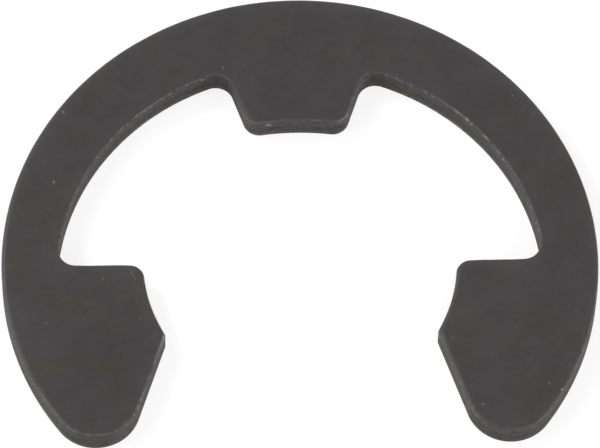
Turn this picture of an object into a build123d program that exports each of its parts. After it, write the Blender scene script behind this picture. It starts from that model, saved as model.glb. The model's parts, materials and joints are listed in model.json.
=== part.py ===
from build123d import *

import os
from math import cos, radians, sin, tan

# E-clip: a one-piece retaining ring of spring steel, pushed sideways into a groove in a shaft.
#
# The clip is blanked from strip in one stroke and then hardened, so it is a single solid. The open
# ring is widest at its crown and thins towards its shoulders. A tapered tab points in from the
# crown, and each arm ends in a broad prong. The prongs' curved bites hold the shaft from below its
# middle, and their sloping lead-in sides spread the clip as it is pushed on.
#
# The origin is the middle of the seat circle on the underside. +Z is the shaft's axis, +Y points at
# the crown, and the mouth opens towards -Y. Lengths are in millimetres and angles in degrees, and
# every size is that of the clip before it is sprung onto a shaft.

# Strip and ring
thickness = 1.75
outer_d = 36.0
crown_width = 4.3  # radial width of the ring at the crown
shoulder_width = 3.35  # radial width of the ring beside the prongs' ledges

# Seat: the circle that the prongs bite into
seat_d = 18.88

# Tab
tab_setback = 0.18  # the tab's tip stops this far outside the seat circle
tab_tip_width = 5.83  # across the tip's corners, before they are rounded
tab_tip_dip = 0.275  # how far the tip is hollowed out in its middle
tab_slope = 19.2  # lean of each side from the tab's own axis

# Prongs
flank_start = 7.3  # below the shoulders, where the prong's outside begins to draw in
flank_draw = 1.03  # how much less the radius of that outside is than the ring's own
point_angle = 30.0  # below the ledges, where the bite ends in a point
lead_in_slope = 19.0  # lean of the mouth's sides from the clip's axis

# Corners, seen from above
tab_tip_r = 1.03
tab_root_r = 1.1
ledge_root_r = 1.0
ledge_corner_r = 0.85
point_r = 0.15
prong_end_r = 2.7

# Edges, seen in section
die_roll_r = 0.15  # drawn down by the punch, round the upper face
burr_break = 0.12  # the burr tumbled off, round the underside

# Places that follow from the sizes above
outer_r = outer_d / 2
seat_r = seat_d / 2
hollow_top = outer_r - crown_width
hollow_side = outer_r - shoulder_width

tab_tip = seat_r + tab_setback
tab_half = tab_tip_width / 2
tab_corner = tab_tip - tab_tip_dip
tab_root = hollow_top + crown_width / 2  # the tab is drawn on into the crown

point_x = seat_r * cos(radians(point_angle))
point_y = -seat_r * sin(radians(point_angle))
mouth_end = -outer_r


def spread(depth, slope):
    """How far out a side that leans by slope has moved after depth."""
    return depth * tan(radians(slope))


def corner_pair(sketch, x, y):
    """The two corners of a mirrored outline that lie nearest to (x, y) and to (-x, y)."""
    return [sketch.vertices().sort_by_distance((side * x, y))[0] for side in (1, -1)]


# The blank's outside: a round crown, run on by a tighter arc down the flank of each prong.
with BuildSketch() as blank:
    with BuildLine():
        crown = CenterArc((0, 0), outer_r, 90, -90 - flank_start)
        flank = JernArc(crown @ 1, crown % 1, outer_r - flank_draw, flank_start - 90)
        Polyline(flank @ 1, (0, (flank @ 1).Y), crown @ 0)
    make_face()
    mirror(about=Plane.YZ)

# The hollow inside the ring, which ends at the prongs' straight ledges.
with BuildSketch() as hollow:
    with BuildLine():
        ThreePointArc((hollow_side, 0), (0, hollow_top), (-hollow_side, 0))
        Line((-hollow_side, 0), (hollow_side, 0))
    make_face()

# The tab, wider towards its root, with a slightly hollow tip that follows the shaft.
tab_root_half = tab_half + spread(tab_root - tab_corner, tab_slope)
with BuildSketch() as tab:
    with BuildLine():
        Polyline(
            (tab_half, tab_corner),
            (tab_root_half, tab_root),
            (-tab_root_half, tab_root),
            (-tab_half, tab_corner),
        )
        ThreePointArc((-tab_half, tab_corner), (0, tab_tip), (tab_half, tab_corner))
    make_face()

# The mouth between the prongs, which opens out from their points.
mouth_half = point_x + spread(point_y - mouth_end, lead_in_slope)
with BuildSketch() as mouth:
    with BuildLine():
        Polyline(
            (point_x, point_y),
            (-point_x, point_y),
            (-mouth_half, mouth_end),
            (mouth_half, mouth_end),
            close=True,
        )
    make_face()

with BuildPart() as e_clip:
    with BuildSketch() as outline:
        add(blank.sketch)
        add(hollow.sketch, mode=Mode.SUBTRACT)
        Circle(seat_r, mode=Mode.SUBTRACT)
        add(mouth.sketch, mode=Mode.SUBTRACT)
        add(tab.sketch)
        fillet(corner_pair(outline, mouth_half, mouth_end), prong_end_r)
        fillet(corner_pair(outline, point_x, point_y), point_r)
        fillet(corner_pair(outline, seat_r, 0), ledge_corner_r)
        fillet(corner_pair(outline, hollow_side, 0), ledge_root_r)
        fillet(corner_pair(outline, tab_half, tab_corner), tab_tip_r)
        fillet(corner_pair(outline, tab_root_half, hollow_top), tab_root_r)
    extrude(amount=thickness)
    fillet(e_clip.faces().sort_by(Axis.Z)[-1].edges(), die_roll_r)
    chamfer(e_clip.faces().sort_by(Axis.Z)[0].edges(), burr_break)

e_clip.part.label = "e_clip"
os.makedirs("parts", exist_ok=True)
export_step(e_clip.part, "parts/e_clip.step")
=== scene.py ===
"""E-clip of black-phosphated spring steel, lying flat on a white card.

The clip is one surface worked out from its outline: the outline of arcs and straight sides is
drawn at any inset, and the section of a blanked edge is carried round it. Lengths are in metres
and angles in radians unless a comment says otherwise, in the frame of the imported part: the
shaft's axis is +Z, the crown is at +Y, the mouth at -Y.
"""

import json
from math import cos, pi, radians, sin, sqrt

import bpy
import numpy as np
from mathutils import Matrix, Vector


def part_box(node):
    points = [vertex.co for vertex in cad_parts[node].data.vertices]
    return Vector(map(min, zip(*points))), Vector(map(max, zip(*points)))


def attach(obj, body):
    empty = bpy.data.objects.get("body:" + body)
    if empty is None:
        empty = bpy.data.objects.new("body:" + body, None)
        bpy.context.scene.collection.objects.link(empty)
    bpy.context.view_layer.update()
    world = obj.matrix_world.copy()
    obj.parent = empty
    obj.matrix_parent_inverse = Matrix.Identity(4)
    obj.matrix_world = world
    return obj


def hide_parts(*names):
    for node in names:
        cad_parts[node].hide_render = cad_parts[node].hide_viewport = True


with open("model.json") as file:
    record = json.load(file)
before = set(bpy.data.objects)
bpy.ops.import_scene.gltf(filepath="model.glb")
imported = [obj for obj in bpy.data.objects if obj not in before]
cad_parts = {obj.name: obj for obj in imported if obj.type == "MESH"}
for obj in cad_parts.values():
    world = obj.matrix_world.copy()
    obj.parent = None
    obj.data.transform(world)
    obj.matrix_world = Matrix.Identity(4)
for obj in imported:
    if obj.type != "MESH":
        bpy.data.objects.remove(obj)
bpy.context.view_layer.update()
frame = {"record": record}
low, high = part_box("e_clip")
seat_mount = next(m for m in frame["record"]["mounts"] if m["name"] == "groove_seat")

MM = 0.001

# The ring, tab and prongs, as the part's own sizes give them
THICKNESS = high.z - low.z
OUTER_R = min(high.x, high.y)
SEAT_R = seat_mount["dims"]["r_mm"] * MM
CROWN_WIDTH = 4.3 * MM
SHOULDER_WIDTH = 3.35 * MM
TAB_SETBACK = 0.18 * MM
TAB_TIP_WIDTH = 5.83 * MM
TAB_TIP_DIP = 0.275 * MM
TAB_SLOPE = radians(19.2)
FLANK_START = radians(7.3)
FLANK_DRAW = 1.03 * MM
POINT_ANGLE = radians(30)
LEAD_IN_SLOPE = radians(19)

# The radii of the outline's corners
TAB_TIP_R = 1.03 * MM
TAB_ROOT_R = 1.1 * MM
LEDGE_ROOT_R = 1.0 * MM
LEDGE_CORNER_R = 0.85 * MM
POINT_R = 0.15 * MM
PRONG_END_R = 2.7 * MM

# The blanked edge's section, from the upper face down
FACE_BAND = 0.9 * MM  # of the upper face, beside the roll
FLAT_RIM = 0.06 * MM
ROLL_WIDTH = 0.30 * MM
ROLL_DEPTH = 0.20 * MM
BURNISHED_END = 0.62 * MM
BREAK_TAPER = 0.005 * MM
BURR_BREAK = 0.04 * MM

# How the roll grows with the outline's bend, which is in radians a millimetre, above 0 round
# steel corners and below 0 in hollows, and how far and over what lengths it wanders
BEND_SPREAD = 0.4 * MM
ROLL_AT_CORNERS = 0.5
ROLL_LEAST, ROLL_MOST = 0.65, 1.55
ROLL_WANDER = 0.07
ROLL_WAVES = (9 * MM, 4 * MM, 2.3 * MM, 1.1 * MM)

# How far round the roll tumbling rubs it most, in degrees from the upper face: on a plain run,
# how much farther for each unit of bend, and how far that wanders
CREST, CREST_AT_CORNERS, CREST_WANDER = 61, 13, 3
CREST_BEND_LEAST, CREST_BEND_MOST = -1, 0.8
CREST_WAVES = (5 * MM, 1.7 * MM, 0.8 * MM)
CREST_HALF_WIDTH = 17

# How much the roll and the lower edge are rubbed, plain and for each unit of bend
ROLL_RUB, ROLL_RUB_AT_CORNERS = 0.85, 0.3
ROLL_RUB_LEAST, ROLL_RUB_MOST = 0.5, 1.2
BURR_RUB, BURR_RUB_AT_CORNERS = 1.2, -0.9
BURR_RUB_HEIGHT = 0.25  # as a share of the broken band

# The rubbing is ragged on the ring's inner edge and less so elsewhere. Distances from the axis
# are in outer radii.
RAGGED_MIDDLE, RAGGED_HALF, RAGGED_FADE = 0.72, 0.09, 0.05
RAGGED_LOST = 0.6

HOLLOW_SPREAD = 0.9 * MM  # a hollow is as deep as it turns within this length, in radians
WALL_FROM = 0.3  # where the wall's finish starts, as a share of the roll's depth

# How much the coat is paler towards the rim: everywhere, on the outer edge, which lies beyond
# OUTSIDE_FROM outer radii, and on edges that face the crown or the right, where it is painted
# light
PALE, PAINTED_LIGHT_CROWNWARD, PAINTED_LIGHT_RIGHTWARD, PALE_OUTSIDE = 0.42, 0.38, 0.2, 0.3
PALE_FROM, PALE_REACH = 0.25 * MM, 0.35 * MM
OUTSIDE_FROM, OUTSIDE_FADE = 0.8, 0.07

# Each entry of the next three tables starts with its place, x and y, and how far round that it
# reaches, all in millimetres.

# Where tumbling rubbed the edge more than elsewhere, or less: how much more, and how much farther
# up the roll, in degrees
RUBS = [
    (10.1, 9.6, 1.5, 0.3, 6),
    (11.6, 8.0, 0.8, 0.1, 5),
    (12.7, 6.5, 0.9, -0.25, 0),
    (13.6, 4.6, 1.3, -0.3, 4),
    (-9.3, 10.4, 0.8, 0.5, -8),
    (-11.1, 8.6, 0.6, -0.35, 0),
    (-13.4, 5.0, 2.5, -0.3, -8),
    (-3.6, 11.3, 0.9, -0.9, -5),
    (3.7, 11.9, 0.7, -0.65, 0),
    (2.2, 9.5, 0.5, -0.4, 0),
    (2.95, 9.8, 0.4, 1.0, 0),
    (-8.4, -5.4, 0.7, 0.6, 0),
    (9.4, -8.4, 1.6, -0.3, 0),
    (12.0, -11.4, 1.5, -0.7, 5),
    (-12.3, -11.4, 1.2, -0.45, 14),
    (-15.0, -9.8, 1.5, 0.4, 8),
    (-10.3, -10.6, 0.9, -0.4, 0),
    (0.0, 9.6, 2.0, -0.5, -3),
    (5.3, 12.7, 1.0, -0.4, 0),
]

# Where the die drew the edge down more than elsewhere, or less: how much more
DRAWN_DOWN = [
    (-3.8, 11.6, 1.0, -0.5),
    (2.95, 9.7, 0.6, -0.45),
    (-10.6, -10.6, 1.2, 0.7),
]

# Where the wall is painted darker than elsewhere, as painted shade, or paler, as painted light:
# how much darker, as a share of what a hollow is
WALL_PAINTED_SHADE_AND_LIGHT = [
    (-3.8, 11.6, 1.0, 1.0),
    (4.1, 12.3, 0.7, -1.1),
    (3.0, 9.8, 0.6, -0.7),
    (-2.7, 9.7, 0.8, -1.0),
    (8.2, -4.7, 0.4, -0.9),
    (-10.6, -10.6, 1.0, -0.3),
]

# How finely the surface is made
STEP = 0.09 * MM
FEWEST_STEPS = 8
STRAIGHT = 10.0  # the radius of the circle that a straight side is part of
SHARPEST = 0.02 * MM  # the smallest radius that a corner keeps as it is drawn in
FIRST_INSET, LAST_INSET = 0.6 * MM, 1.7 * MM  # where the outline's way inward is measured
FACE_ROWS, FACE_CROWDING = 7, 1.5
ROLL_ANGLES = (0, 10, 20, 30, 38, 46, 54, 62, 70, 77, 84, 90)  # degrees from the upper face
BURNISHED_ROWS, BROKEN_ROWS = 7, 6
CLOSE_ROWS_FROM = 0.8  # the share of the broken band from which its rows lie closer
BURR_ANGLES = (15, 30, 45, 60, 75, 90)  # degrees from the wall


# --- The outline -------------------------------------------------------------------------------


def round_side(x, y, radius, steel_inside):
    """A side of the outline that is an arc: its circle, and whether the steel is inside that."""
    return np.array([x, y]), radius, steel_inside


def straight_side(x, y, lean):
    """A straight side through (x, y) that runs at the angle lean, with the steel on its left.

    It is an arc like the others, of a circle so large (STRAIGHT) that it is straight.
    """
    left = np.array([-sin(lean), cos(lean)])
    return np.array([x, y]) + STRAIGHT * left, STRAIGHT, True


def drawn_in(side, inset):
    """The same side moved into the steel by inset."""
    centre, radius, steel_inside = side
    return centre, radius - inset if steel_inside else radius + inset, steel_inside


def crossing(a, b, near):
    """Where the circles of two sides cross, the crossing nearest to a point.

    From a's centre go along the line of centres by (d^2 + ra^2 - rb^2) / 2d, then square off it.
    """
    (pa, ra, _), (pb, rb, _) = a, b
    gap = np.hypot(*(pb - pa))
    along = (pb - pa) / gap
    run = (gap**2 + ra**2 - rb**2) / (2 * gap)
    rise = sqrt(max(ra**2 - run**2, 0))
    across = np.array([-along[1], along[0]])
    both = [pa + run * along + turn * rise * across for turn in (1, -1)]
    return min(both, key=lambda p: np.hypot(*(p - near)))


def touch(side, point):
    """Where a fillet centred at a point touches a side: the point of its circle nearest to it."""
    centre, radius, _ = side
    return centre + radius * (point - centre) / np.hypot(*(point - centre))


def arc(centre, start, end, count):
    """Points from start to end round centre, the short way, evenly spread, without the last."""
    a, b = (np.arctan2(*(p - centre)[::-1]) for p in (start, end))
    turn = (b - a + pi) % (2 * pi) - pi
    angles = a + turn * np.arange(count) / count
    return centre + np.hypot(*(start - centre)) * np.stack([np.cos(angles), np.sin(angles)], 1)


def right_half():
    """The right half's sides and corners, in order from the tab's tip to the crown.

    Each corner is (fillet radius, True where the corner is of steel, a point near it).
    """
    hollow_top = OUTER_R - CROWN_WIDTH
    hollow_side = OUTER_R - SHOULDER_WIDTH
    hollow_r = (hollow_top**2 + hollow_side**2) / (2 * hollow_top)
    tip = SEAT_R + TAB_SETBACK
    tip_half = TAB_TIP_WIDTH / 2
    tip_r = (tip_half**2 + TAB_TIP_DIP**2) / (2 * TAB_TIP_DIP)
    tip_corner = np.array([tip_half, tip - TAB_TIP_DIP])
    root_out = tip_half + 1.5 * MM
    prong_out = 0.68 * OUTER_R
    point = SEAT_R * np.array([cos(POINT_ANGLE), -sin(POINT_ANGLE)])
    flank_x, flank_y = FLANK_DRAW * cos(FLANK_START), -FLANK_DRAW * sin(FLANK_START)
    sides = [
        round_side(0, tip - tip_r, tip_r, False),
        straight_side(*tip_corner, pi / 2 - TAB_SLOPE),
        round_side(0, hollow_top - hollow_r, hollow_r, False),
        straight_side(hollow_side, 0, pi),
        round_side(0, 0, SEAT_R, False),
        straight_side(*point, LEAD_IN_SLOPE - pi / 2),
        round_side(flank_x, flank_y, OUTER_R - FLANK_DRAW, True),
    ]
    corners = [
        (TAB_TIP_R, True, tip_corner),
        (TAB_ROOT_R, False, (root_out, hollow_top)),
        (LEDGE_ROOT_R, False, (hollow_side, 0)),
        (LEDGE_CORNER_R, True, (SEAT_R, 0)),
        (POINT_R, True, point),
        (PRONG_END_R, True, (prong_out, -prong_out)),
    ]
    return sides, corners


def half_outline(inset, counts=None):
    """The right half's points at an inset, and how many each stretch has.

    Each side is drawn in by inset and each corner filleted afresh, so every stretch keeps its
    number of points and lies beside itself at every inset. A fillet's centre is where its two
    sides cross once they are drawn in by its radius, or out where the corner is hollow.
    """
    sides, corners = right_half()
    moved = [drawn_in(side, inset) for side in sides]
    ends = [np.array([0, sides[0][0][1] + moved[0][1]])]
    centres = [moved[0][0]]
    for (radius, of_steel, near), before, after in zip(corners, moved, moved[1:]):
        rounding = max(radius - inset, SHARPEST) if of_steel else radius + inset
        shift = rounding if of_steel else -rounding
        centre = crossing(drawn_in(before, shift), drawn_in(after, shift), np.array(near))
        ends += [touch(before, centre), touch(after, centre)]
        centres += [centre, after[0]]
    flank_end = (OUTER_R - inset) * np.array([cos(FLANK_START), -sin(FLANK_START)])
    ends += [flank_end, np.array([OUTER_R - inset, 0]), np.array([0, OUTER_R - inset])]
    centres += [np.zeros(2), np.zeros(2)]
    if counts is None:
        lengths = [np.hypot(*(b - a)) for a, b in zip(ends, ends[1:])]
        counts = [max(FEWEST_STEPS, round(length / STEP)) for length in lengths]
    stretches = [arc(c, a, b, n) for c, a, b, n in zip(centres, ends, ends[1:], counts)]
    return np.concatenate(stretches), counts


def outline(inset, counts=None):
    """The whole outline at an inset, anticlockwise: the left half is the right half mirrored."""
    right, counts = half_outline(inset, counts)
    top = np.array([[0, OUTER_R - inset]])
    left = right[:0:-1] * [-1, 1]
    return np.concatenate([right, top, left]), counts


# --- The surface -------------------------------------------------------------------------------


def distance_round(points):
    """How far each of a closed row of points lies round it from the first, and the whole way."""
    steps = np.hypot(*(np.roll(points, -1, 0) - points).T)
    return np.concatenate([[0], np.cumsum(steps)[:-1]]), steps.sum()


def bend(points, spread):
    """How sharply the outline turns at each point, averaged over about spread.

    It is above 0 round steel corners and below 0 in hollows. The turn at each point is the angle
    between its two steps. The turns are put on an even ruler round the outline, blurred there by
    a Gaussian as a product of spectra, and read back.
    """
    before, after = points - np.roll(points, 1, 0), np.roll(points, -1, 0) - points
    cross = before[:, 0] * after[:, 1] - before[:, 1] * after[:, 0]
    turn = np.arctan2(cross, (before * after).sum(1))
    along, whole = distance_round(points)
    cells = 4096
    ruler = np.bincount((along / whole * cells).astype(int) % cells, turn, cells) * cells / whole
    blur = np.exp(-2 * (pi * spread * np.fft.rfftfreq(cells, whole / cells)) ** 2)
    smooth = np.fft.irfft(np.fft.rfft(ruler) * blur, cells)
    return np.interp(along / whole * cells, np.arange(cells) + 0.5, smooth, period=cells)


def waves(along, whole, lengths, seed):
    """A smooth wobble that closes on itself, at most 1 high: sine waves of about these lengths."""
    draw = np.random.default_rng(seed)
    phases = draw.uniform(0, 2 * pi, len(lengths))
    heights = draw.uniform(0.5, 1, len(lengths))
    turns = 2 * pi * along[:, None] * np.round(whole / np.array(lengths)) / whole
    return (heights * np.sin(turns + phases)).sum(1) / heights.sum()


def nearness(points, x, y, reach):
    """1 at the place (x, y) and fading away from it over reach, all three in millimetres."""
    return np.exp(-((points - (x * MM, y * MM)) ** 2).sum(1) / (reach * MM) ** 2)


def local_changes(points, table):
    """What a table's entries add up to at each point, each one fading away from its place."""
    return sum(more * nearness(points, *place) for *place, more in table)


def rising(values, start, length):
    """0 where the values are below start, 1 where they are beyond start + length."""
    return np.clip((values - start) / length, 0, 1)


def edge_section(roll, crest, burr_rub):
    """The blanked edge's section from the upper face down, a column for each outline point.

    roll is each column's share of the plain roll, crest is how far round the roll, in degrees,
    tumbling rubs it most, and burr_rub is how much it rubs the lower edge. Gives the inset, the
    depth and the rubbing, as rows by columns. The rows on the face crowd towards the roll, the
    roll is a quarter of an ellipse, the burnished band is upright, the broken band leans in by
    BREAK_TAPER, and the edge below it is a quarter circle. The rubbing is a Gaussian about the
    crest, and another up from the lower edge.
    """
    roll = roll[None]
    level, upright = 0 * roll, 1 + 0 * roll
    face = np.linspace(1, 0, FACE_ROWS)[:, None] ** FACE_CROWDING
    turn = np.array(ROLL_ANGLES)[:, None]
    share = np.linspace(0, 1, BURNISHED_ROWS + 1)[1:, None]
    upper, lower = np.linspace([0, CLOSE_ROWS_FROM], [CLOSE_ROWS_FROM, 1], BROKEN_ROWS + 1)[1:].T
    broken = np.concatenate([upper, lower])[:, None]
    under = np.radians(BURR_ANGLES)[:, None]
    roll_depth = ROLL_DEPTH * roll
    burr = THICKNESS - BURR_BREAK
    insets = [
        ROLL_WIDTH * roll + FLAT_RIM + FACE_BAND * face,
        ROLL_WIDTH * roll * (1 - np.sin(np.radians(turn))),
        level * share,
        BREAK_TAPER * broken * upright,
        (BREAK_TAPER + BURR_BREAK * (1 - np.cos(under))) * upright,
        (BREAK_TAPER + BURR_BREAK + FLAT_RIM) * upright,
    ]
    depths = [
        level * face,
        roll_depth * (1 - np.cos(np.radians(turn))),
        roll_depth + (BURNISHED_END - roll_depth) * share,
        (BURNISHED_END + (burr - BURNISHED_END) * broken) * upright,
        (burr + BURR_BREAK * np.sin(under)) * upright,
        THICKNESS * upright,
    ]
    rubbed = [
        level * face,
        np.exp(-(((turn - crest) / CREST_HALF_WIDTH) ** 2)),
        np.exp(-(((90 - crest) / CREST_HALF_WIDTH) ** 2)) * (1 - share) ** 2,
        burr_rub * np.exp(-(((1 - broken) / BURR_RUB_HEIGHT) ** 2)),
        burr_rub * np.cos(under),
        level,
    ]
    return np.concatenate(insets), np.concatenate(depths), np.concatenate(rubbed)


def drawn_edge(rim, along, whole):
    """The section carried round the rim: its insets, depths and rubbing, and the roll's share.

    The roll is larger round steel corners, where it is also rubbed lower down, it wanders a
    little, and it follows DRAWN_DOWN. The rubbing grows at corners too, and follows RUBS.
    """
    corners = MM * bend(rim, BEND_SPREAD)
    wander = waves(along, whole, ROLL_WAVES, seed=5)
    roll = np.clip(1 + ROLL_AT_CORNERS * corners, ROLL_LEAST, ROLL_MOST)
    roll = roll * (1 + ROLL_WANDER * wander) * (1 + local_changes(rim, DRAWN_DOWN))
    near = np.array([nearness(rim, *rub[:3]) for rub in RUBS])
    more, up = (np.array(RUBS)[:, column] @ near for column in (3, 4))
    crest = CREST + CREST_AT_CORNERS * np.clip(corners, CREST_BEND_LEAST, CREST_BEND_MOST) - up
    crest = crest + CREST_WANDER * waves(along, whole, CREST_WAVES, seed=8)
    burr_rub = BURR_RUB + BURR_RUB_AT_CORNERS * np.clip(corners, 0, 1)
    insets, depths, rubbed = edge_section(roll, crest, burr_rub)
    plain = np.clip(ROLL_RUB + ROLL_RUB_AT_CORNERS * corners, ROLL_RUB_LEAST, ROLL_RUB_MOST)
    return insets, depths, rubbed * plain * (1 + more), roll


def coat_readings(rim, inward, insets, depths, roll):
    """What the coat reads at each point of the surface, apart from the rubbing.

    hollow is how far the outline bends away from the steel, from 0 to 1, changed by
    WALL_PAINTED_SHADE_AND_LIGHT; it darkens the wall as painted shade, and where it is below 0 it
    pales the wall as painted light.
    ragged is 1 on the ring's inner edge. wall goes from 0 to 1 down the roll, and is 0 on the two
    faces. pale falls off from the rim into the upper face, and is strongest where the edge faces
    the crown, on the outer edge, and on those inner edges that face right; on edges that face the
    crown or the right it is painted light.
    """
    from_axis = np.hypot(*rim.T) / OUTER_R
    hollow_shade = np.clip(-HOLLOW_SPREAD * bend(rim, HOLLOW_SPREAD), 0, 1)
    # Painted shade and painted light on the wall at the listed places
    hollow_shade = np.clip(hollow_shade + local_changes(rim, WALL_PAINTED_SHADE_AND_LIGHT), -1, 1)
    off_middle = np.abs(from_axis - RAGGED_MIDDLE)
    ragged = 1 - RAGGED_LOST * rising(off_middle, RAGGED_HALF, RAGGED_FADE)
    down_roll = depths / (ROLL_DEPTH * roll)
    wall = rising(down_roll, WALL_FROM, 1 - WALL_FROM) * (depths < THICKNESS)
    right, crownward = (-inward / np.hypot(*inward.T)[:, None]).T
    outside = rising(from_axis, OUTSIDE_FROM, OUTSIDE_FADE)
    # Painted light: the rim is paler where its edge faces the crown or the right
    paling_and_painted_light = PALE + PAINTED_LIGHT_CROWNWARD * crownward + PAINTED_LIGHT_RIGHTWARD * right * (1 - outside)
    paling_and_painted_light = paling_and_painted_light + PALE_OUTSIDE * outside
    fading = np.exp(-np.maximum(insets, PALE_FROM) / PALE_REACH)
    pale_and_painted_light = (fading - fading[0]) * paling_and_painted_light * np.clip(1 - down_roll, 0, 1) ** 2
    every_row = 0 * depths
    return dict(hollow_shade=hollow_shade + every_row, wall=wall, ragged=ragged + every_row, pale_and_painted_light=pale_and_painted_light)


def clip_surface():
    """The clip's points as section rows by outline columns, with what the coat reads there.

    A point is rim + inset * inward, where inward is the way the outline moves as it is drawn in.
    That way is measured from the rim to FIRST_INSET, and beyond that from there to LAST_INSET, so
    that the band of face still follows the outline where a corner's arc has shrunk away.
    """
    rim, counts = outline(0)
    first, last = (outline(inset, counts)[0] for inset in (FIRST_INSET, LAST_INSET))
    inward = (first - rim) / FIRST_INSET
    farther_in = (last - first) / (LAST_INSET - FIRST_INSET)
    along, whole = distance_round(rim)
    insets, depths, rubbed, roll = drawn_edge(rim, along, whole)
    beyond = np.maximum(insets - FIRST_INSET, 0)[..., None]
    place = rim + (insets[..., None] - beyond) * inward + beyond * farther_in
    coat = coat_readings(rim, inward, insets, depths, roll)
    return np.dstack([place, high.z - depths]), along, depths, dict(rubbed=rubbed, **coat)


def make_clip():
    """The clip as one closed mesh.

    Its edge and the band of face beside it are a grid of quads, and the rest of each face is one
    flat polygon. The map "edge" runs round the outline and down the section, in metres.
    """
    grid, along, depths, readings = clip_surface()
    rows, columns, _ = grid.shape
    index = np.arange(rows * columns).reshape(rows, columns)
    right = np.roll(index, -1, 1)
    quads = np.stack([index[:-1], index[1:], right[1:], right[:-1]], -1).reshape(-1, 4)
    faces = quads.tolist() + [index[0].tolist(), index[-1][::-1].tolist()]
    mesh = bpy.data.meshes.new("e_clip_steel")
    mesh.from_pydata(grid.reshape(-1, 3), [], faces)
    mesh.shade_smooth()
    for name, values in readings.items():
        mesh.attributes.new(name, "FLOAT", "POINT").data.foreach_set("value", values.ravel())
    corner_points = np.empty(len(mesh.loops), int)
    mesh.loops.foreach_get("vertex_index", corner_points)
    across = np.broadcast_to(along, depths.shape).ravel()[corner_points]
    edge_map = np.stack([across, depths.ravel()[corner_points]], 1)
    mesh.uv_layers.new(name="edge").data.foreach_set("uv", edge_map.ravel())
    mesh.validate()
    clip = bpy.data.objects.new("e_clip_steel", mesh)
    bpy.context.scene.collection.objects.link(clip)
    return clip


# --- Materials ---------------------------------------------------------------------------------

SEEING_RAYS = ("Camera", "Glossy", "Transmission")


class Wire:
    """A value in a material's graph. Arithmetic on wires adds Math nodes."""

    def __init__(self, graph, socket):
        self.graph, self.socket = graph, socket

    def maths(self, operation, *others, clamp=False):
        """A Math node on this and the others."""
        settings = {"operation": operation, "use_clamp": clamp}
        sockets = dict(enumerate([self, *others]))
        return self.graph.node("ShaderNodeMath", settings, sockets)

    def __add__(self, other):
        return self.maths("ADD", other)

    def __mul__(self, other):
        return self.maths("MULTIPLY", other)

    def __sub__(self, other):
        return self.maths("SUBTRACT", other)

    def __rsub__(self, other):
        return (self * -1) + other

    __radd__ = __add__
    __rmul__ = __mul__

    def clamped(self):
        """The same, kept from 0 to 1."""
        return self.maths("ADD", 0.0, clamp=True)

    def ramp(self, start, end):
        """0 below start, 1 above end, and smooth between them."""
        settings = {"interpolation_type": "SMOOTHSTEP"}
        return self.graph.node("ShaderNodeMapRange", settings, {0: self, 1: start, 2: end})


class Graph:
    """The nodes of a material or a world."""

    def __init__(self, owner):
        owner.use_nodes = True
        self.owner, self.tree = owner, owner.node_tree
        self.tree.nodes.clear()

    def node(self, kind, settings, sockets, output=0):
        """Any node: its settings are set first, then the values or links of its sockets."""
        made = self.tree.nodes.new(kind)
        for key, value in settings.items():
            setattr(made, key, value)
        for key, value in sockets.items():
            if isinstance(value, Wire):
                self.tree.links.new(value.socket, made.inputs[key])
            else:
                made.inputs[key].default_value = value
        return Wire(self, made.outputs[output]) if made.outputs else None

    def mix(self, share, first, second):
        """A colour between two."""
        sockets = {0: share, 6: first, 7: second}
        return self.node("ShaderNodeMix", {"data_type": "RGBA"}, sockets, output=2)

    def vectors(self, operation, *values, output=0):
        """A Vector Math node."""
        settings = {"operation": operation}
        return self.node("ShaderNodeVectorMath", settings, dict(enumerate(values)), output)

    def strength(self, colour, amount):
        """A colour made stronger or weaker."""
        sockets = {0: colour, "Scale": amount}
        return self.node("ShaderNodeVectorMath", {"operation": "SCALE"}, sockets)

    def stretched(self, place, size, offset):
        """Places for a pattern whose features are as long as size says along x, y and z."""
        scale = tuple(1 / length for length in size)
        sockets = {"Vector": place, "Location": (offset, offset, offset), "Scale": scale}
        return self.node("ShaderNodeMapping", {}, sockets)

    def noise(self, place, size, offset, detail, roughness):
        """Noise about 0, within about half of 1 either way, with features of that size in mm."""
        size = [length * MM for length in size]
        sockets = {"Vector": self.stretched(place, size, offset), "Scale": 1.0}
        sockets |= {"Detail": detail, "Roughness": roughness}
        return self.node("ShaderNodeTexNoise", {}, sockets) - 0.5

    def jitter(self, place, size, reach):
        """Small pushes this way and that, which change over about size and go as far as reach."""
        sockets = {"Vector": self.stretched(place, 3 * [size], 5.0), "Scale": 1.0, "Detail": 2.0}
        colour = self.node("ShaderNodeTexNoise", {}, sockets, output="Color")
        return self.strength(self.vectors("SUBTRACT", colour, (0.5, 0.5, 0.5)), 2 * reach)

    def attribute(self, name):
        """A value that the mesh carries at its points."""
        return self.node("ShaderNodeAttribute", {"attribute_name": name}, {}, output="Fac")

    def seen_or_mirrored(self):
        """1 for what the camera sees, itself, in a gloss or through glass, and 0 for lighting."""
        path, *others = (
            self.node("ShaderNodeLightPath", {}, {}, output=f"Is {ray} Ray") for ray in SEEING_RAYS
        )
        for other in others:
            path = path.maths("MAXIMUM", other)
        return path

    def finish(self, shader, kind="Material"):
        """The material or world, with the shader as its surface."""
        self.node(f"ShaderNodeOutput{kind}", {}, {"Surface": shader})
        return self.owner


def grey(value):
    """A grey of that strength."""
    return (value, value, value, 1)


# The coat's three tints and the steel under it
OLIVE_PHOSPHATE = (0.0532, 0.0515, 0.0427, 1)
MAUVE_PHOSPHATE = (0.0531, 0.0489, 0.0509, 1)
RUSTY_PHOSPHATE = (0.0551, 0.0490, 0.0510, 1)
BARE_STEEL = (0.300, 0.292, 0.266, 1)

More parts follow.
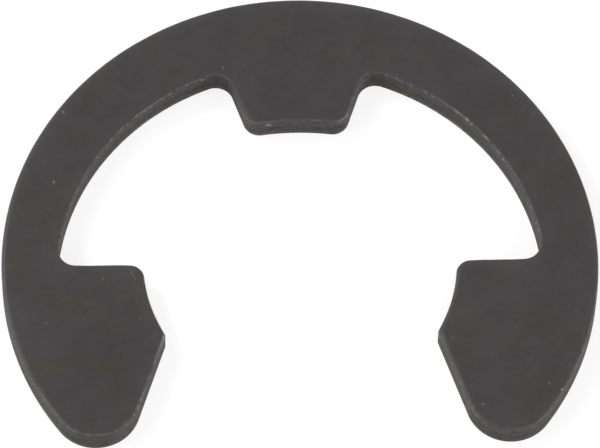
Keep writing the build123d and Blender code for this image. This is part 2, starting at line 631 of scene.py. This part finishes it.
# The steel's patterns: how long their features are along three axes in millimetres, how far they
# are shifted, and the noise's detail and roughness. These run through the steel.
THROUGH_STEEL = [
    ((4, 4, 4), 0.0, 6.0, 0.85),  # clouds, paler and darker
    ((3, 3, 3), 3.0, 5.0, 0.8),  # tint, from olive to mauve
    ((2, 2, 2), 9.0, 4.0, 0.8),  # rust
    ((1.2, 0.12, 0.3), 0.0, 3.0, 0.6),  # the strip's rolling marks
    ((0.07, 0.07, 0.07), 0.0, 3.0, 0.6),  # grain
    ((0.3, 0.3, 0.3), 7.0, 4.0, 0.8),  # blotches
]
# These run round the outline and down the section
ROUND_EDGE = [
    ((0.13, 0.5, 1000), 0.0, 3.0, 0.8),  # streaks down the wall
    ((1.6, 0.13, 1000), 0.0, 3.0, 0.8),  # layers along it
    ((0.32, 0.22, 1000), 2.0, 4.0, 0.85),  # sparks in what is rubbed
]
BURNISHED_FROM, BURNISHED_TO = 0.55 * MM, 0.95 * MM  # how far down the burnished band gives out
WALL_PALER = 0.28
# How much a hollow darkens the wall, as painted shade, and how much it calms the torn wall's
# patterns
HOLLOW_PAINTED_SHADE, HOLLOW_SMOOTHER = 0.30, 0.5
# How much the rim's paling, painted light where the edge faces the crown or the right, pales the
# coat
RIM_PALER_AND_PAINTED_LIGHT = 0.5
COAT_ROUGHNESS, COAT_GLOSS = 0.38, 0.18
GRAIN_STRENGTH, GRAIN_HEIGHT = 0.35, 0.008 * MM
NICK_DEPTH = 11.5  # in grain heights
NICK_CORE = 0.4  # the share of a nick's reach within which it is barest
JAG_SIZE, JAG_REACH = 0.12 * MM, 0.08 * MM  # of the nicks' edges

# Nicks in the coating, from handling: where they are across the clip, how far down it, how far
# they reach across it and how far along it and down it, all in millimetres, and how bare they
# leave the steel
NICKS = [
    (-14.8, 5.62, 0.0, 0.13, 0.15, 0.36),
    (-14.2, 10.4, 0.0, 0.10, 0.13, 0.46),
    (-10.18, -0.60, 0.0, 0.08, 0.08, 0.26),
    (-10.08, -0.78, 0.0, 0.07, 0.08, 0.26),
    (-9.97, -0.96, 0.0, 0.07, 0.08, 0.26),
    (-4.4, 13.3, 0.0, 0.10, 0.12, 0.26),
    (13.2, 11.1, 0.0, 0.10, 0.10, 0.26),
    (14.4, 9.7, 0.0, 0.07, 0.07, 0.26),
    (10.7, -9.7, 0.0, 0.12, 0.12, 0.26),
    (14.7, -8.4, 0.0, 0.10, 0.12, 0.26),
    (15.5, -8.83, 0.0, 0.13, 0.14, 0.75),
    (16.5, -3.5, 0.0, 0.07, 0.10, 0.26),
    (9.0, -5.2, 0.0, 0.08, 0.07, 0.26),
    (-9.7, -3.7, 0.0, 0.08, 0.07, 0.26),
    (-15.3, -3.9, 0.0, 0.08, 0.08, 0.26),
    (-11.9, -1.0, 0.0, 0.08, 0.08, 0.26),
    (-2.6, 12.4, 0.0, 0.07, 0.07, 0.26),
    (-1.70, 9.52, 0.47, 0.25, 0.16, 0.62),
    (-5.69, 12.54, 0.18, 0.16, 0.11, 0.75),
    (-8.82, 10.7, 0.13, 0.18, 0.11, 0.70),
    (10.37, 9.49, 0.07, 0.16, 0.18, 0.38),
    (10.63, 9.2, 0.07, 0.12, 0.13, 0.5),
    (12.49, 6.78, 0.12, 0.11, 0.12, 0.65),
    (-8.27, -4.98, 0.15, 0.12, 0.32, 0.55),
    (8.23, -4.75, 0.4, 0.25, 0.55, 0.14),
    (3.05, 9.75, 0.2, 0.25, 0.35, 0.16),
]


def nicked(g, place):
    """How bare the nicks leave the steel, and 0 outside them.

    Each fades with how far a point is off its middle, as a share of its reach, and where two meet
    the barer one counts.
    """
    most = 0.0
    for x, y, deep, wide, tall, bare in NICKS:
        off = g.vectors("SUBTRACT", place, (x * MM, y * MM, high.z - deep * MM))
        per_reach = (1 / (wide * MM), 1 / (tall * MM), 1 / (tall * MM))
        far = g.vectors("LENGTH", g.vectors("MULTIPLY", off, per_reach), output="Value")
        most = ((1 - far.ramp(NICK_CORE, 1.0)) * bare).maths("MAXIMUM", most)
    return most


def phosphated_steel():
    """Black phosphate on blanked spring steel.

    Matt charcoal, clouded between olive and mauve, with a little of the strip's rolling grain. It
    pales on the face towards the rim, and where the rim faces the crown or the right that paling
    is painted light. The sheared edge is burnished for its upper third and torn below, and both
    are streaked. Wherever tumbling rubs the edge the coating is thin, paler and smoother. The wall
    is painted darker in hollows, as painted shade, and painted darker or paler at a few listed
    places, as painted shade and painted light. Each share below says how much a pattern, or a
    value that the mesh carries, adds to what it is part of.
    """
    g = Graph(bpy.data.materials.new("phosphated_spring_steel"))
    place = g.node("ShaderNodeTexCoord", {}, {}, output="Object")
    edge = g.node("ShaderNodeUVMap", {"uv_map": "edge"}, {})
    down = g.node("ShaderNodeSeparateXYZ", {}, {0: edge}, output="Y")
    toward_crown = g.node("ShaderNodeSeparateXYZ", {}, {0: place}, output="Y")
    names = ("rubbed", "hollow_shade", "wall", "ragged", "pale_and_painted_light")
    rubbed, hollow_shade, wall, ragged, pale_and_painted_light = (g.attribute(name) for name in names)
    cloud, tint, rust, rolled, grain, blotches = (g.noise(place, *row) for row in THROUGH_STEEL)
    streaks, layers, sparks = (g.noise(edge, *row) for row in ROUND_EDGE)

    band_end = down + layers * 0.5 * MM + blotches * 0.3 * MM
    burnished = 1 - band_end.ramp(BURNISHED_FROM, BURNISHED_TO)
    nick = nicked(g, g.vectors("ADD", place, g.jitter(place, JAG_SIZE, JAG_REACH)))

    mauve = tint * 8.0 + toward_crown * (0.02 / MM) + 0.93 - wall * 0.75
    coat = g.mix(mauve.clamped(), OLIVE_PHOSPHATE, MAUVE_PHOSPHATE)
    coat = g.mix((rust * 3.0 + 0.3).clamped(), coat, RUSTY_PHOSPHATE)
    depth = cloud * 0.9 + rolled * 0.18 + grain * 0.2 + 1
    torn = (streaks * 1.4 + layers * 3.4 + blotches * 1.8) * (1 - hollow_shade * HOLLOW_SMOOTHER)
    depth = depth * (1 + wall * (torn + burnished * 0.02 + WALL_PALER))
    # Painted shade darkens the wall in hollows and at listed places, painted light pales it at
    # others, and the rim is paled, partly as painted light
    depth = depth * (1 - wall * hollow_shade * HOLLOW_PAINTED_SHADE) * (1 + pale_and_painted_light * RIM_PALER_AND_PAINTED_LIGHT)
    scratched = rubbed * (0.25 + ragged * (sparks * 3.0 + blotches))
    worn = scratched.maths("MAXIMUM", nick, clamp=True)
    height = grain + wall * (blotches * 1.5 + streaks * 1.2 + layers) - nick * NICK_DEPTH
    bump = {"Strength": GRAIN_STRENGTH, "Distance": GRAIN_HEIGHT, "Height": height}
    roughness = COAT_ROUGHNESS + wall * (0.37 - burnished * 0.1) - worn * 0.35 + cloud * 0.15
    sockets = {
        "Base Color": g.mix(worn, g.strength(coat, depth), BARE_STEEL),
        "Metallic": worn,
        "Roughness": roughness,
        "Specular IOR Level": COAT_GLOSS,
        "Normal": g.node("ShaderNodeBump", {}, bump),
    }
    return g.finish(g.node("ShaderNodeBsdfPrincipled", {}, sockets))


def white_card():
    """The card under the clip: matt to the light that falls on it, and white where it is seen.

    The white is SHADOW_SHARE of what the lamps make of it, which keeps the clip's soft shadow,
    and a glow for the rest. It is clear from below.
    """
    g = Graph(bpy.data.materials.new("white_card"))
    behind = g.node("ShaderNodeNewGeometry", {}, {}, output="Backfacing")
    matt = g.node("ShaderNodeBsdfDiffuse", {}, {"Color": grey(CARD_GREY)})
    shaded = g.node("ShaderNodeBsdfDiffuse", {}, {"Color": grey(SHADOW_SHARE)})
    glow = CARD_WHITE - LIT_CARD * SHADOW_SHARE
    lit = g.node("ShaderNodeEmission", {}, {"Color": grey(1.0), "Strength": glow})
    white = g.node("ShaderNodeAddShader", {}, {0: shaded, 1: lit})
    upper = g.node("ShaderNodeMixShader", {}, {0: g.seen_or_mirrored(), 1: matt, 2: white})
    clear = g.node("ShaderNodeBsdfTransparent", {}, {})
    return g.finish(g.node("ShaderNodeMixShader", {}, {0: behind, 1: upper, 2: clear}))


# --- Studio ------------------------------------------------------------------------------------

CARD_SIZE = 3.0
CARD_GREY = 0.85
CARD_WHITE = 1.03
LIT_CARD = 0.8  # how bright a white card is in this light
SHADOW_SHARE = 0.3  # how much of the card's white is the light that falls on it
CARD_GAP = 0.02 * MM  # the card lies this far below the clip, so that the two never meet


def make_card():
    """A square card, level and just under the clip."""
    half = CARD_SIZE / 2
    ways = ((-1, -1), (1, -1), (1, 1), (-1, 1))
    corners = [(x * half, y * half, low.z - CARD_GAP) for x, y in ways]
    mesh = bpy.data.meshes.new("white_card")
    mesh.from_pydata(corners, [], [(0, 1, 2, 3)])
    mesh.materials.append(white_card())
    card = bpy.data.objects.new("white_card", mesh)
    bpy.context.scene.collection.objects.link(card)
    return card


SKY_STRENGTH = 0.40


def make_sky():
    """The room: a plain light on the clip, and white wherever it is seen or mirrored."""
    g = Graph(bpy.data.worlds.new("studio"))
    level = g.node("ShaderNodeMix", {}, {0: g.seen_or_mirrored(), 2: SKY_STRENGTH, 3: 1.0})
    light = g.node("ShaderNodeBackground", {}, {"Color": grey(1.0), "Strength": level})
    bpy.context.scene.world = g.finish(light, "World")


LAMP_DISTANCE = 0.5

# The lamps: azimuth and elevation in degrees, how wide they are, and how brightly each would
# light a white card if it were alone and faced it squarely
LAMPS = {
    "left_lamp": (-88, 34, 0.4, 0.13),
    "key_lamp": (-76, 50, 0.12, 0.10),
    "back_lamp": (-122, 42, 0.15, 0.32),
    "right_lamp": (82, 22, 0.5, 0.44),
    "front_lamp": (0, 35, 0.3, 0.16),
}


def make_lamp(name, azimuth, elevation, size, share):
    """A square lamp aimed at the clip. Its power is that share of pi^2 times distance^2."""
    a, e = radians(azimuth), radians(elevation)
    way = Vector((sin(a) * cos(e), -cos(a) * cos(e), sin(e)))
    lamp = bpy.data.lights.new(name, "AREA")
    lamp.shape, lamp.size = "SQUARE", size
    lamp.energy = share * pi * pi * LAMP_DISTANCE**2
    holder = bpy.data.objects.new(name, lamp)
    holder.location = way * LAMP_DISTANCE
    holder.rotation_euler = way.to_track_quat("Z", "Y").to_euler()
    bpy.context.scene.collection.objects.link(holder)


SENSOR = 36.0
CAMERA_ELEVATION = radians(63.14)
CAMERA_AZIMUTH = radians(-2.76)
CAMERA_ROLL = radians(1.61)
CAMERA_DISTANCE = 24 * OUTER_R
CAMERA_NEAREST, CAMERA_FARTHEST = 0.01, 20
RADIUS_SHARE = 0.49767  # the clip's outer radius, as a share of the picture's width
AIM_RIGHT, AIM_DOWN = 0.0004, 0.12455  # of the seat's centre from the picture's, in outer radii


def make_camera():
    """A long lens far off, looking down on the clip.

    Its back points away from the clip by its azimuth and elevation. Its right and up are level
    and upright ones turned by the roll. It is moved aside by how far the picture's centre lies
    from the seat's. The lens makes the outer radius RADIUS_SHARE of the picture's width.
    """
    ce, se = cos(CAMERA_ELEVATION), sin(CAMERA_ELEVATION)
    ca, sa = cos(CAMERA_AZIMUTH), sin(CAMERA_AZIMUTH)
    back = Vector((sa * ce, -ca * ce, se))
    level = Vector((ca, sa, 0))
    upright = back.cross(level)
    right = cos(CAMERA_ROLL) * level + sin(CAMERA_ROLL) * upright
    up = cos(CAMERA_ROLL) * upright - sin(CAMERA_ROLL) * level
    data = bpy.data.cameras.new("camera")
    data.sensor_width = SENSOR
    data.lens = RADIUS_SHARE * SENSOR * CAMERA_DISTANCE / OUTER_R
    data.clip_start, data.clip_end = CAMERA_NEAREST, CAMERA_FARTHEST
    camera = bpy.data.objects.new("camera", data)
    seat_top = Vector((0, 0, high.z))
    aside = OUTER_R * (AIM_DOWN * up - AIM_RIGHT * right)
    turn = Matrix((right, up, back)).transposed().to_4x4()
    camera.matrix_world = Matrix.Translation(seat_top + CAMERA_DISTANCE * back + aside) @ turn
    bpy.context.scene.collection.objects.link(camera)
    bpy.context.scene.camera = camera


clip = make_clip()
clip.data.materials.append(phosphated_steel())
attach(clip, "root")
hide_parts("e_clip")

make_card()
make_sky()
for name, settings in LAMPS.items():
    make_lamp(name, *settings)
make_camera()
bpy.context.scene.view_settings.view_transform = "Standard"
